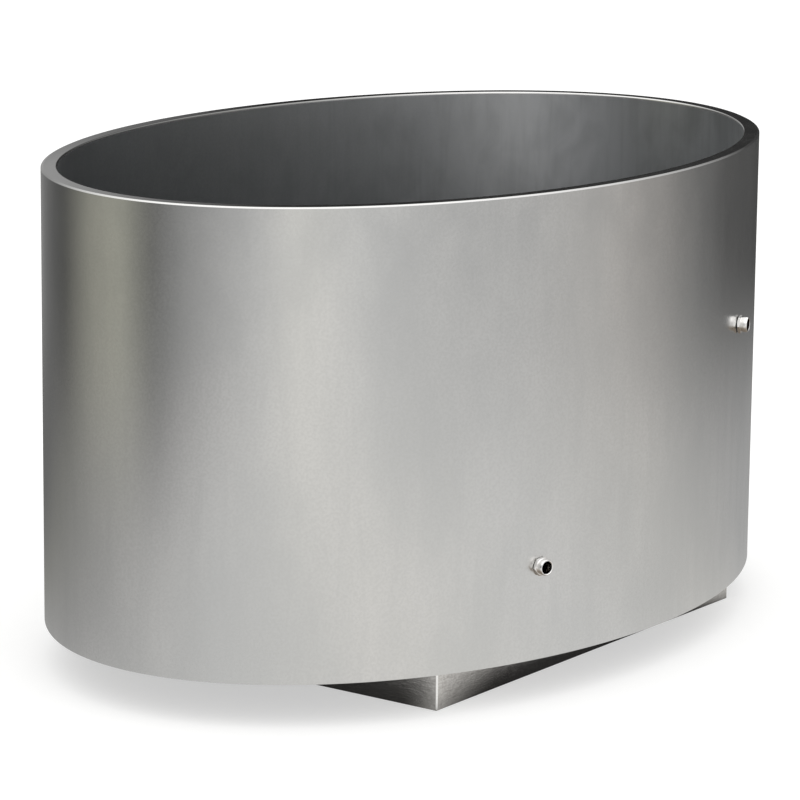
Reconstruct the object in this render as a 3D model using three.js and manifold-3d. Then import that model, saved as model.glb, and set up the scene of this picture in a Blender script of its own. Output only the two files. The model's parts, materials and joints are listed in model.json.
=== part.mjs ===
// Open oval milk vat: a double-walled elliptical vessel with a cooling jacket, on a box plinth.
// Millimetres, +Z up. The origin is on the floor, under the centre of the vessel. +X runs along the vessel.
import * as THREE from "three";
import { ParametricGeometry } from "three/addons/geometries/ParametricGeometry.js";
import { mergeVertices } from "three/addons/utils/BufferGeometryUtils.js";
import Module from "manifold-3d";

const wasm = await Module();
wasm.setup();

// ---- Driving dimensions ----

const HALF_LENGTH = 762; // outer shell, along X
const HALF_WIDTH = 519; // outer shell, along Y
const SHELL_HEIGHT = 768;
const PLINTH_HEIGHT = 71;
const WALL_WIDTH = 28.5; // from the outer face to the inner face
const SHEET = 2; // shell and liner sheet
const GAP = 0.3; // between neighbouring pieces
const OVAL_STEPS = 64; // facets round the vessel
const ROUND_STEPS = 20; // facets round the larger turned pieces
const SMALL_STEPS = 14; // facets round the smaller turned pieces
const ELBOW_STEPS = 9; // rings along the drain elbow
const ELBOW_SIDES = 7; // facets round half of it

const SHELL_BOTTOM = PLINTH_HEIGHT;
const RIM_TOP = PLINTH_HEIGHT + SHELL_HEIGHT;
const RIM_THICKNESS = 12;
const RIM_BEVEL = 1.5; // outer edge
const RIM_ROUND = 3; // radius of the inner edge
const RIM_BOTTOM = RIM_TOP - RIM_THICKNESS;

// A coved ring joins the floor to the foot of the liner, and the floor falls to the outlet.
const BASE_THICKNESS = 3;
const FLOOR_SEAM = 150; // height where the cove meets the liner wall
const COVE_RADIUS = 25;
const FLOOR_EDGE = FLOOR_SEAM - COVE_RADIUS; // top of the floor at the cove
const FLOOR_CENTRE = 105; // top of the floor at the outlet
const COVE_SLACK = 10; // the floor's blanket stops this far below the cove
const FLOOR_SLACK = 1.5; // and this far below the floor
const RECESS_EDGE = 54; // radius where the floor drops into the recess for the outlet
const RECESS_RADIUS = 46;
const RECESS_FLOOR = FLOOR_CENTRE - 4.3; // takes the outlet's flange, so that the vat drains fully

// The jacket wraps the liner wall, and the two ports feed it.
const JACKET_BOTTOM = 185;
const JACKET_TOP = 574;
const JACKET_CHANNEL = 8;
const STRIP_HEIGHT = 3;
const LINER_INSET = WALL_WIDTH - SHEET; // outer face of the liner
const JACKET_INNER = LINER_INSET - JACKET_CHANNEL;
const JACKET_OUTER = JACKET_INNER - SHEET;

// Ports: three-quarter inch hex nipples on the front wall.
const INLET_OFFSET = -296; // from the middle of the vessel, along X
const OUTLET_OFFSET = 310;
const INLET_HEIGHT = SHELL_BOTTOM + 157;
const OUTLET_HEIGHT = SHELL_BOTTOM + 463;
const PIPE_RADIUS = 13.35;
const PIPE_BORE = 10.45;
const NIPPLE_REACH = 17.5; // from the shell to the end face
const HEX_FLATS = 28.6;
const HEX_TURN = 8 * (Math.PI / 180);
const SHOULDER_BACK = 1.4;
const SHOULDER_FRONT = 6.2;
const NIPPLE_NOSE = 1.5; // chamfer on the end of the thread
const WASHER_RADIUS = 14.2;
const BOSS_RADIUS = 18.5;
const BOSS_CLEARANCE = 1; // from the boss to the shell's curved inner face
const DRILL_BACK = -20; // a port's drill runs between these two depths
const DRILL_FRONT = 10;

// Drain: a flanged body through the floor, an elbow and a tail pipe to the rear of the plinth.
const FLOOR_HOLE = 25;
const BASE_HOLE = 46;
const DRAIN_FLANGE_RADIUS = 42;
const DRAIN_TUBE_RADIUS = 24;
const DRAIN_BORE = 19;
const DRAIN_MOUTH = 22; // radius of the bore's tapered mouth
const DRAIN_MOUTH_DEPTH = 9;
const DRAIN_TUBE_BOTTOM = 78;
const GASKET_HEIGHT = 3;
const LOCKNUT_FLATS = 62;
const LOCKNUT_HEIGHT = 9;
const SOCKET_RADIUS = 29; // the elbow's socket, round the drain body's tube
const SOCKET_TOP = 84;
const TAIL_RADIUS = 19;
const TAIL_BORE = 17;
const TAIL_HEIGHT = 34; // centre line of the tail pipe
const TAIL_BEND = 30;
const TAIL_START = 38; // y where the elbow ends
const FERRULE_RADIUS = 25.2;
const FERRULE_LENGTH = 12;
const FERRULE_FACE = 412; // y of the end face

// Lift-out plug: a flanged stopper with a sealing ring, a stem and a knob.
const STOPPER_RADIUS = 18.4;
const STOPPER_LENGTH = 19;
const STOPPER_LEAD = 2; // taper on its lower end
const GROOVE_RADIUS = 16.4;
const GROOVE_DEPTH = 13; // centre of the groove below the seat
const GROOVE_HALF = 2;
const SEAL_RADIUS = 17.6; // centre of the ring's section
const SEAL_HALF_WIDTH = 0.9;
const SEAL_HALF_HEIGHT = 1.6;
const HEAD_RADIUS = 30;
const HEAD_HEIGHT = 5;
const STEM_RADIUS = 5;
const STEM_HEIGHT = 18;
const KNOB_RADIUS = 14;
const KNOB_TOP = 26; // above the seat

// Plinth: four flanged panels mitred at the corners, with two cross beams.
const PLINTH_HALF_LENGTH = 447.5;
const PLINTH_HALF_WIDTH = 383.6;
const PANEL_SHEET = 3;
const PANEL_FLANGE = 28;
const PLINTH_TOP = PLINTH_HEIGHT - GAP;
const BEAM_OFFSET = 200;
const BEAM_WIDTH = 40;
const MITRE_DEPTH = PANEL_FLANGE + 10;
const OVERRUN = 5; // how far a cutting shape runs past what it cuts

// Levelling feet, one in each corner of the plinth.
const FOOT_INSET = 75; // foot centre from the plinth's outer faces
const FOOT_RADIUS = 30;
const SOLE_HEIGHT = 4;
const DISC_TOP = 12;
const STUD_RADIUS = 7.8;
const STUD_TOP = 60;
const STUD_CHAMFER = 1.5;
const DISC_RADIUS = 29;
const DISC_EDGE = 4; // height of the disc's rim
const DISC_HUB = 12;
const THREAD_CLEARANCE = 0.5;
const NUT_FLATS = 24;
const NUT_HEIGHT = 13;
const BRACKET_BOTTOM = 25.7;
const BRACKET_SHEET = 6;
const BRACKET_CORNER = 8; // cut off the corner that faces the mitre

// ---- Materials ----

function steel(color, roughness) {
  return new THREE.MeshStandardMaterial({ color, roughness, metalness: 1 });
}

function soft(color, roughness) {
  return new THREE.MeshStandardMaterial({ color, roughness, metalness: 0 });
}

const looks = {
  brushed: () => steel(0xc2c2be, 0.34),
  liner: () => steel(0x9a9c9e, 0.4),
  mill: () => steel(0x8b8783, 0.5),
  bright: () => steel(0xd9d8d4, 0.2),
  plain: () => steel(0xa3a3a3, 0.45),
  rubber: () => soft(0x1c1c1d, 0.8),
  seal: () => soft(0xe9e6df, 0.6),
  blanket: () => soft(0xd8cfae, 0.95),
};

// ---- Geometry helpers ----

// A closed section swept round the Z axis on ellipses.
// Each section point is [half length, half width, height].
function ovalSweep(section, steps = OVAL_STEPS) {
  const count = section.length;
  return new ParametricGeometry((u, v, target) => {
    const [a, b, z] = section[Math.round(v * count) % count];
    const turn = (Math.round(u * steps) % steps) * ((2 * Math.PI) / steps);
    target.set(a * Math.cos(turn), b * Math.sin(turn), z);
  }, steps, count);
}

// A section point on the ellipse that lies an inset inside the shell's outer face.
function inset(distance, z) {
  return [HALF_LENGTH - distance, HALF_WIDTH - distance, z];
}

// A section point on a circle about the Z axis.
function circle(radius, z) {
  return [radius, radius, z];
}

// An upright oval band between two insets and two heights.
function band(outer, inner, bottom, top) {
  return ovalSweep([inset(outer, bottom), inset(outer, top), inset(inner, top), inset(inner, bottom)]);
}

// Points along a quarter round, each [distance from the centre inwards, height].
function quarterRound(radius, from, to, steps) {
  return Array.from({ length: steps + 1 }, (_, i) => {
    const angle = from + ((to - from) * i) / steps;
    return [radius * Math.cos(angle), radius * Math.sin(angle)];
  });
}

// A solid turned about +Z from a closed outline of [radius, height] points.
function turned(outline, steps = ROUND_STEPS) {
  const points = [...outline, outline[0]].map(([r, z]) => new THREE.Vector2(r, z));
  return new THREE.LatheGeometry(points, steps).rotateX(Math.PI / 2);
}

// A plain tube about +Z.
function tube(outer, inner, bottom, top, steps = ROUND_STEPS) {
  return turned([[inner, bottom], [outer, bottom], [outer, top], [inner, top]], steps);
}

// A solid bar about +Z.
function bar(radius, bottom, top, steps = ROUND_STEPS) {
  return turned([[0, bottom], [radius, bottom], [radius, top], [0, top]], steps);
}

// A hexagonal bar about +Z, with a corner at the given turn from +X.
function hexBar(flats, bottom, top, turn = 0) {
  return bar(flats / Math.sqrt(3), bottom, top, 6).rotateZ(turn);
}

// A flat plate cut to a plan outline, between two heights.
function plate(outline, bottom, top) {
  const shape = new THREE.Shape(outline.map(([x, y]) => new THREE.Vector2(x, y)));
  const upright = new THREE.ExtrudeGeometry(shape, { depth: top - bottom, bevelEnabled: false });
  return upright.translate(0, 0, bottom);
}

function solid(geometry) {
  const bare = geometry.clone();
  bare.deleteAttribute("normal");
  bare.deleteAttribute("uv");
  const merged = mergeVertices(bare, 1e-3);
  return new wasm.Manifold(
    new wasm.Mesh({
      numProp: 3,
      vertProperties: new Float32Array(merged.attributes.position.array),
      triVerts: new Uint32Array(merged.index.array),
    }),
  );
}

function toGeometry(body) {
  const { vertProperties, triVerts } = body.getMesh();
  const geometry = new THREE.BufferGeometry();
  geometry.setAttribute("position", new THREE.BufferAttribute(vertProperties, 3));
  geometry.setIndex(new THREE.BufferAttribute(triVerts, 1));
  geometry.computeVertexNormals();
  return geometry;
}

// The first geometry with the others cut out of it.
function cut(base, ...tools) {
  return toGeometry(tools.reduce((body, tool) => body.subtract(solid(tool)), solid(base)));
}

// All the geometries joined into one.
function join(base, ...others) {
  return toGeometry(others.reduce((body, other) => body.add(solid(other)), solid(base)));
}

// What two geometries have in common.
function common(first, second) {
  return toGeometry(solid(first).intersect(solid(second)));
}

const vat = new THREE.Group();

function place(name, geometry, look, parent = vat) {
  const mesh = new THREE.Mesh(geometry, looks[look]());
  mesh.name = name;
  parent.add(mesh);
  return mesh;
}

// ---- Ports: a frame whose +Z points straight out of the shell ----

function portFrame(x, height) {
  const turn = -Math.acos(x / HALF_LENGTH);
  const outward = new THREE.Vector3(HALF_WIDTH * Math.cos(turn), HALF_LENGTH * Math.sin(turn), 0).normalize();
  const up = new THREE.Vector3(0, 0, 1);
  const across = new THREE.Vector3().crossVectors(up, outward);
  const frame = new THREE.Matrix4().makeBasis(across, up, outward);
  return frame.setPosition(x, HALF_WIDTH * Math.sin(turn), height);
}

const ports = {
  cooling_inlet: portFrame(INLET_OFFSET, INLET_HEIGHT),
  cooling_outlet: portFrame(OUTLET_OFFSET, OUTLET_HEIGHT),
};

// Bars that pierce a wall at both ports.
function portHoles(radius) {
  return Object.values(ports).map((frame) => bar(radius, DRILL_BACK, DRILL_FRONT).applyMatrix4(frame));
}

// A hex nipple: inner thread, hex shoulder, outer thread with a chamfered nose, bored through.
function nippleGeometry() {
  const inner = -JACKET_OUTER;
  const stem = turned([
    [0, inner],
    [PIPE_RADIUS, inner],
    [PIPE_RADIUS, NIPPLE_REACH - NIPPLE_NOSE],
    [PIPE_RADIUS - NIPPLE_NOSE / 2, NIPPLE_REACH],
    [0, NIPPLE_REACH],
  ]);
  const shoulder = hexBar(HEX_FLATS, SHOULDER_BACK, SHOULDER_FRONT, HEX_TURN);
  return cut(join(stem, shoulder), bar(PIPE_BORE, inner - OVERRUN, NIPPLE_REACH + OVERRUN));
}

function addPorts() {
  const sleeve = PIPE_RADIUS + GAP;
  for (const [name, frame] of Object.entries(ports)) {
    const group = new THREE.Group();
    group.applyMatrix4(frame);
    vat.add(group);
    place(name + "_nipple", nippleGeometry(), "bright", group);
    const washer = tube(WASHER_RADIUS, sleeve, GAP, SHOULDER_BACK - GAP);
    place(name + "_washer", washer, "rubber", group);
    const boss = tube(BOSS_RADIUS, sleeve, BOSS_CLEARANCE / 2 - JACKET_OUTER, -SHEET - BOSS_CLEARANCE);
    place(name + "_boss", boss, "plain", group);
  }
}

// ---- Vessel ----

function addShell() {
  const wall = band(0, SHEET, SHELL_BOTTOM, RIM_BOTTOM - GAP);
  place("outer_shell", cut(wall, ...portHoles(PIPE_RADIUS + GAP)), "brushed");

  const inner = WALL_WIDTH;
  const round = quarterRound(RIM_ROUND, Math.PI / 2, 0, 3).map(([across, up]) =>
    inset(inner - RIM_ROUND + across, RIM_TOP - RIM_ROUND + up),
  );
  const rim = [
    inset(0, RIM_BOTTOM),
    inset(0, RIM_TOP - RIM_BEVEL),
    inset(RIM_BEVEL, RIM_TOP),
    ...round,
    inset(inner, RIM_BOTTOM),
  ];
  place("rim_ring", ovalSweep(rim), "brushed");

  const base = [
    inset(SHEET + GAP, SHELL_BOTTOM),
    inset(SHEET + GAP, SHELL_BOTTOM + BASE_THICKNESS),
    circle(BASE_HOLE, SHELL_BOTTOM + BASE_THICKNESS),
    circle(BASE_HOLE, SHELL_BOTTOM),
  ];
  place("base_plate", ovalSweep(base), "plain");
}

function addLiner() {
  place("inner_wall", band(LINER_INSET, WALL_WIDTH, FLOOR_SEAM + GAP, RIM_BOTTOM - GAP), "liner");

  // The cove turns about a line that lies one cove radius inside the liner's inner face.
  const centre = WALL_WIDTH + COVE_RADIUS;
  const coved = (radius) =>
    quarterRound(radius, 0, -Math.PI / 2, 3).map(([across, up]) => inset(centre - across, FLOOR_SEAM + up));
  place("floor_cove", ovalSweep([...coved(COVE_RADIUS + SHEET).reverse(), ...coved(COVE_RADIUS)]), "liner");

  const floor = [
    inset(centre + GAP, FLOOR_EDGE - SHEET),
    inset(centre + GAP, FLOOR_EDGE),
    circle(RECESS_EDGE, FLOOR_CENTRE),
    circle(RECESS_RADIUS, RECESS_FLOOR),
    circle(FLOOR_HOLE, RECESS_FLOOR),
    circle(FLOOR_HOLE, RECESS_FLOOR - SHEET),
    circle(RECESS_RADIUS, RECESS_FLOOR - SHEET),
    circle(RECESS_EDGE, FLOOR_CENTRE - SHEET),
  ];
  place("inner_floor", ovalSweep(floor), "liner");
}

function addJacket() {
  const wall = band(JACKET_OUTER, JACKET_INNER, JACKET_BOTTOM, JACKET_TOP);
  place("jacket_wall", cut(wall, ...portHoles(PIPE_RADIUS + GAP)), "plain");
  const outer = JACKET_INNER + GAP;
  const inner = LINER_INSET - GAP;
  place("jacket_lower_strip", band(outer, inner, JACKET_BOTTOM, JACKET_BOTTOM + STRIP_HEIGHT), "plain");
  place("jacket_upper_strip", band(outer, inner, JACKET_TOP - STRIP_HEIGHT, JACKET_TOP), "plain");
}

function addInsulation() {
  const outer = SHEET + GAP;
  const inner = LINER_INSET - GAP;
  const base = SHELL_BOTTOM + BASE_THICKNESS + GAP;
  place("insulation_lower", band(outer, inner, base, JACKET_BOTTOM - GAP), "blanket");
  place("insulation_upper", band(outer, inner, JACKET_TOP + GAP, RIM_BOTTOM - GAP), "blanket");
  const middle = band(outer, JACKET_OUTER - GAP, JACKET_BOTTOM, JACKET_TOP);
  place("insulation_middle", cut(middle, ...portHoles(BOSS_RADIUS + GAP)), "blanket");

  const hole = RECESS_EDGE + 2 * FLOOR_SLACK;
  const floor = [
    inset(LINER_INSET, base),
    inset(LINER_INSET, FLOOR_EDGE - COVE_SLACK),
    inset(WALL_WIDTH + COVE_RADIUS, FLOOR_EDGE - SHEET - FLOOR_SLACK),
    circle(hole, FLOOR_CENTRE - SHEET - FLOOR_SLACK),
    circle(hole, base),
  ];
  place("insulation_floor", ovalSweep(floor), "blanket");
}

// ---- Drain ----

const DRAIN_SLEEVE = DRAIN_TUBE_RADIUS + GAP; // bore of what goes round the drain body's tube

// The body, with the gasket and locknut that clamp it through the floor.
function addDrainBody() {
  const flangeBottom = RECESS_FLOOR + GAP;
  const body = [
    [DRAIN_BORE, DRAIN_TUBE_BOTTOM],
    [DRAIN_TUBE_RADIUS, DRAIN_TUBE_BOTTOM],
    [DRAIN_TUBE_RADIUS, flangeBottom],
    [DRAIN_FLANGE_RADIUS, flangeBottom],
    [DRAIN_FLANGE_RADIUS, FLOOR_CENTRE - GAP],
    [DRAIN_FLANGE_RADIUS - GAP, FLOOR_CENTRE],
    [DRAIN_MOUTH, FLOOR_CENTRE],
    [DRAIN_BORE, FLOOR_CENTRE - DRAIN_MOUTH_DEPTH],
  ];
  place("drain_body", turned(body), "bright");

  const gasketTop = RECESS_FLOOR - SHEET - GAP;
  const gasketBottom = gasketTop - GASKET_HEIGHT;
  place("drain_gasket", tube(DRAIN_FLANGE_RADIUS, DRAIN_SLEEVE, gasketBottom, gasketTop), "rubber");
  const nutTop = gasketBottom - GAP;
  const nutBottom = nutTop - LOCKNUT_HEIGHT;
  const nut = hexBar(LOCKNUT_FLATS, nutBottom, nutTop);
  place("drain_locknut", cut(nut, bar(DRAIN_SLEEVE, nutBottom - OVERRUN, nutTop + OVERRUN)), "plain");
}

// The elbow's centre line drops below the drain body and turns to +Y.
function elbowRun() {
  const point = (y, z) => new THREE.Vector3(0, y, z);
  const bendTop = TAIL_HEIGHT + TAIL_BEND;
  const run = new THREE.CurvePath();
  run.add(new THREE.LineCurve3(point(0, bendTop + 2 * OVERRUN), point(0, bendTop)));
  const corner = point(0, TAIL_HEIGHT);
  run.add(new THREE.QuadraticBezierCurve3(point(0, bendTop), corner, point(TAIL_BEND, TAIL_HEIGHT)));
  run.add(new THREE.LineCurve3(point(TAIL_BEND, TAIL_HEIGHT), point(TAIL_START, TAIL_HEIGHT)));
  return run;
}

function addDrainElbow() {
  const extrudePath = elbowRun();
  const swept = (radius) => {
    const outline = new THREE.Shape().absarc(0, 0, radius, 0, 2 * Math.PI);
    const settings = { extrudePath, steps: ELBOW_STEPS, curveSegments: ELBOW_SIDES };
    return new THREE.ExtrudeGeometry(outline, settings);
  };
  const bend = cut(swept(TAIL_RADIUS), swept(TAIL_BORE));
  const stepBottom = TAIL_HEIGHT + TAIL_BEND + OVERRUN;
  const stepTop = DRAIN_TUBE_BOTTOM - GAP;
  const step = tube(SOCKET_RADIUS, TAIL_BORE, stepBottom, stepTop);
  const socket = tube(SOCKET_RADIUS, DRAIN_SLEEVE, stepTop - 1, SOCKET_TOP);
  place("drain_elbow", join(bend, step, socket), "plain");
}

function addTailPipe() {
  const alongY = (geometry) => geometry.rotateX(-Math.PI / 2).translate(0, 0, TAIL_HEIGHT);
  const pipeEnd = FERRULE_FACE - FERRULE_LENGTH;
  place("drain_pipe", alongY(tube(TAIL_RADIUS, TAIL_BORE, TAIL_START + GAP, pipeEnd)), "plain");
  const flange = 2.9;
  const ferrule = [
    [TAIL_BORE, pipeEnd + GAP],
    [TAIL_RADIUS, pipeEnd + GAP],
    [TAIL_RADIUS, FERRULE_FACE - 2 * flange],
    [FERRULE_RADIUS, FERRULE_FACE - flange],
    [FERRULE_RADIUS, FERRULE_FACE],
    [TAIL_BORE, FERRULE_FACE],
  ];
  place("drain_ferrule", alongY(turned(ferrule)), "bright");
}

function addPlug() {
  const seat = FLOOR_CENTRE;
  const groove = seat - GROOVE_DEPTH;
  const bottom = seat - STOPPER_LENGTH;
  const headBottom = seat + GAP;
  const plug = [
    [0, bottom],
    [STOPPER_RADIUS - STOPPER_LEAD, bottom],
    [STOPPER_RADIUS, bottom + STOPPER_LEAD],
    [STOPPER_RADIUS, groove - GROOVE_HALF],
    [GROOVE_RADIUS, groove - GROOVE_HALF],
    [GROOVE_RADIUS, groove + GROOVE_HALF],
    [STOPPER_RADIUS, groove + GROOVE_HALF],
    [STOPPER_RADIUS, headBottom],
    [HEAD_RADIUS, headBottom],
    [HEAD_RADIUS, seat + HEAD_HEIGHT / 2],
    [HEAD_RADIUS - HEAD_HEIGHT / 2, seat + HEAD_HEIGHT],
    [STEM_RADIUS, seat + HEAD_HEIGHT],
    [STEM_RADIUS, seat + STEM_HEIGHT],
    [0, seat + STEM_HEIGHT],
  ];
  place("drain_plug", turned(plug), "bright");

  const seal = Array.from({ length: 6 }, (_, i) => {
    const angle = (i * Math.PI) / 3;
    return [SEAL_RADIUS + SEAL_HALF_WIDTH * Math.cos(angle), groove + SEAL_HALF_HEIGHT * Math.sin(angle)];
  });
  place("plug_seal", turned(seal), "rubber");

  // The knob's skirt hangs round the stem, which ends inside it.
  const top = seat + KNOB_TOP;
  const socketTop = seat + STEM_HEIGHT + GAP;
  const socketRadius = STEM_RADIUS + GAP;
  const knob = [
    [socketRadius, top - KNOB_RADIUS],
    [socketRadius + 3, top - KNOB_RADIUS],
    [KNOB_RADIUS, top - 8],
    [KNOB_RADIUS, top - 4],
    [KNOB_RADIUS - 4, top - 1],
    [0, top],
    [0, socketTop],
    [socketRadius, socketTop],
  ];
  place("plug_knob", turned(knob), "bright");
}

// ---- Plinth ----

// A flanged panel along X on the -Y side, mitred at both ends.
function panelGeometry(halfSpan, halfDepth) {
  const outer = -halfDepth;
  const channel = [
    [outer, 0],
    [outer + PANEL_FLANGE, 0],
    [outer + PANEL_FLANGE, PANEL_SHEET],
    [outer + PANEL_SHEET, PANEL_SHEET],
    [outer + PANEL_SHEET, PLINTH_TOP - PANEL_SHEET],
    [outer + PANEL_FLANGE, PLINTH_TOP - PANEL_SHEET],
    [outer + PANEL_FLANGE, PLINTH_TOP],
    [outer, PLINTH_TOP],
  ];
  // The section is drawn in Y and Z and extruded along X.
  const length = plate(channel, -halfSpan, halfSpan)
    .rotateX(Math.PI / 2)
    .rotateZ(Math.PI / 2);
  const reach = halfSpan - GAP / 2;
  const mitre = [
    [-reach - OVERRUN, outer - OVERRUN],
    [reach + OVERRUN, outer - OVERRUN],
    [reach - MITRE_DEPTH, outer + MITRE_DEPTH],
    [MITRE_DEPTH - reach, outer + MITRE_DEPTH],
  ];
  return common(length, plate(mitre, -OVERRUN, PLINTH_TOP + OVERRUN));
}

function addPlinth() {
  const long = () => panelGeometry(PLINTH_HALF_LENGTH, PLINTH_HALF_WIDTH);
  const short = () => panelGeometry(PLINTH_HALF_WIDTH, PLINTH_HALF_LENGTH);
  const outletHole = bar(TAIL_RADIUS + 2 * GAP, TAIL_START, FERRULE_FACE)
    .rotateX(-Math.PI / 2)
    .translate(0, 0, TAIL_HEIGHT);
  place("plinth_front", long(), "mill");
  place("plinth_rear", cut(long().rotateZ(Math.PI), outletHole), "mill");
  place("plinth_left", short().rotateZ(-Math.PI / 2), "mill");
  place("plinth_right", short().rotateZ(Math.PI / 2), "mill");

  // Each beam is a channel, open downwards, between the front and rear panels.
  const reach = PLINTH_HALF_WIDTH - PANEL_SHEET - GAP;
  const bottom = PANEL_SHEET + GAP;
  const top = PLINTH_TOP - PANEL_SHEET - GAP;
  const half = BEAM_WIDTH / 2;
  const section = [
    [-half, bottom],
    [PANEL_SHEET - half, bottom],
    [PANEL_SHEET - half, top - PANEL_SHEET],
    [half - PANEL_SHEET, top - PANEL_SHEET],
    [half - PANEL_SHEET, bottom],
    [half, bottom],
    [half, top],
    [-half, top],
  ];
  for (const [name, side] of [["left", -1], ["right", 1]]) {
    const beam = plate(section, -reach, reach).rotateX(Math.PI / 2);
    place("cross_beam_" + name, beam.translate(side * BEAM_OFFSET, 0, 0), "plain");
  }
}

// ---- Levelling feet ----

function addFoot(corner, sideX, sideY) {
  const group = new THREE.Group();
  group.position.set(sideX * (PLINTH_HALF_LENGTH - FOOT_INSET), sideY * (PLINTH_HALF_WIDTH - FOOT_INSET), 0);
  vat.add(group);

  const wall = FOOT_INSET - PANEL_SHEET - GAP;
  const inward = -FOOT_RADIUS;
  const outline = [
    [inward, inward],
    [wall, inward],
    [wall, wall - BRACKET_CORNER],
    [wall - BRACKET_CORNER, wall],
    [inward, wall],
  ].map(([x, y]) => [x * sideX, y * sideY]);
  if (sideX * sideY < 0) outline.reverse();
  const bracket = plate(outline, BRACKET_BOTTOM, BRACKET_BOTTOM + BRACKET_SHEET);
  const hole = bar(STUD_RADIUS + THREAD_CLEARANCE, 0, PLINTH_HEIGHT, SMALL_STEPS);
  place("foot_bracket_" + corner, cut(bracket, hole), "plain", group);

  const nutTop = BRACKET_BOTTOM - GAP;
  const nut = hexBar(NUT_FLATS, nutTop - NUT_HEIGHT, nutTop);
  place("foot_nut_" + corner, cut(nut, hole), "plain", group);

  const stud = [
    [0, SOLE_HEIGHT + GAP],
    [DISC_RADIUS, SOLE_HEIGHT + GAP],
    [DISC_RADIUS, SOLE_HEIGHT + DISC_EDGE],
    [DISC_HUB, DISC_TOP],
    [STUD_RADIUS, DISC_TOP],
    [STUD_RADIUS, STUD_TOP - STUD_CHAMFER],
    [STUD_RADIUS - STUD_CHAMFER, STUD_TOP],
    [0, STUD_TOP],
  ];
  place("foot_stud_" + corner, turned(stud, SMALL_STEPS), "bright", group);
  place("foot_sole_" + corner, bar(FOOT_RADIUS, 0, SOLE_HEIGHT, SMALL_STEPS), "rubber", group);
}

// ---- Assembly ----

addShell();
addLiner();
addJacket();
addInsulation();
addPorts();
addDrainBody();
addDrainElbow();
addTailPipe();
addPlug();
addPlinth();
addFoot("front_left", -1, -1);
addFoot("front_right", 1, -1);
addFoot("rear_left", -1, 1);
addFoot("rear_right", 1, 1);

export default vat;
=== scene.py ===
# Open oval milk vat on a box plinth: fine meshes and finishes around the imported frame.
# Metres, +Z up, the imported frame's own axes. Sizes marked MM are written in millimetres.
import json
from math import ceil, copysign, cos, pi, radians, sin, tan

import bmesh
import bpy
from mathutils import Matrix, Vector


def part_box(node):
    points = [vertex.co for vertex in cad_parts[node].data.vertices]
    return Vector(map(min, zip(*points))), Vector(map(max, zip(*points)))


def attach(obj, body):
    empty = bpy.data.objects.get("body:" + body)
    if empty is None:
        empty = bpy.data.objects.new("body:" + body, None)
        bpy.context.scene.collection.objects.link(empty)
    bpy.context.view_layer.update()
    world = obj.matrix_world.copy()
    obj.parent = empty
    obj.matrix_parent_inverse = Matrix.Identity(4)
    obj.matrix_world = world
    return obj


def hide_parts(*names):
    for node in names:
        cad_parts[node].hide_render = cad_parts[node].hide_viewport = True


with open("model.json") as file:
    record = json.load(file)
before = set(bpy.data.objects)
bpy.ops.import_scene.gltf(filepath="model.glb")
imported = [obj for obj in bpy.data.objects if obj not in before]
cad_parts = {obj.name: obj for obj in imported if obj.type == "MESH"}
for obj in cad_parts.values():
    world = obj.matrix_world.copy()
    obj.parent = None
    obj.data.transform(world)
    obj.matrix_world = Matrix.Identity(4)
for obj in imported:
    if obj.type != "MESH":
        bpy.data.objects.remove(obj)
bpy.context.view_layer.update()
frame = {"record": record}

MM = 0.001
TAU = 2 * pi

# ---- Sizes taken from the frame ----


def low(node):
    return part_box(node)[0]


def high(node):
    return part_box(node)[1]


def heights(node):
    """A node's lowest and highest Z at rest."""
    return low(node).z, high(node).z


def mount(name):
    """A mount's point and axis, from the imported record."""
    row = next(m for m in frame["record"]["mounts"] if m["name"] == name)
    return Vector(row["pos_m"]), Vector(row["axis"]).normalized()


HALF_LENGTH = high("outer_shell").x
HALF_WIDTH = high("outer_shell").y
SHELL_BOTTOM = low("outer_shell").z
RIM_BOTTOM = low("rim_ring").z
RIM_TOP = high("rim_ring").z
LINER_INSET = HALF_LENGTH - high("inner_wall").x  # outer face of the liner
SEAM = low("inner_wall").z  # where the liner meets the cove
FLOOR_EDGE = high("inner_floor").z
FLOOR_BOTTOM = low("inner_floor").z
JACKET_TOP = high("jacket_wall").z
JACKET_BOTTOM = low("jacket_wall").z
JACKET_INSET = HALF_LENGTH - high("jacket_wall").x
STOPPER_LENGTH = 19 * MM
SEAT = low("drain_plug").z + STOPPER_LENGTH  # top of the outlet's flange
PLINTH_X = high("plinth_right").x
PLINTH_Y = high("plinth_rear").y
PLINTH_TOP = high("plinth_front").z

# ---- Sizes of the details ----

SHEET = 2 * MM
CLEARANCE = 0.3 * MM  # between pieces that touch in the real vat
FOOT_EDGE = 1 * MM  # radius on the shell's lower edges
RIM_WIDTH = LINER_INSET + SHEET
BEVEL_WIDTH = 4.4 * MM  # ground on the outer edge of the rim
BEVEL_DROP = 2 * MM
RIM_ROUND = 3 * MM  # rolled inner edge of the rim
COVE_RADIUS = 25 * MM
COVE_INSET = RIM_WIDTH + COVE_RADIUS  # where the cove ends and the floor starts
OVAL_STEPS = 320
WALL_ROWS = 14
ROUND_STEPS = 64
DISC_STEPS = 96
FILLET_STEPS = 5
STRAIGHT = 0.02  # a corner that turns less than this needs no fillet
SIDE_SHARE = 0.49  # the most of a side that one fillet may take
SUPPORT = 0.3  # extra point just past a fillet, as a share of its reach
WELD_POINTS = 1e-6
WELD_AXIS = 1e-7
SHARP_ANGLE = radians(32)
UPRIGHT = 0.05  # a face whose normal rises less than this stands upright
HEX_STEPS = 96
THREAD_STEPS = 40  # round one turn of a thread
THREAD_ROWS = 8  # rows to each turn of a thread
COVE_STEPS = 12
BASE_RINGS = 10
DISH_RINGS = 14

BASE_HOLE = 46 * MM  # where the outlet passes the base plate
FLOOR_HOLE = 25 * MM
RECESS_EDGE = 54 * MM  # the floor drops into the outlet's recess between these radii
RECESS_RADIUS = 46 * MM

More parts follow.
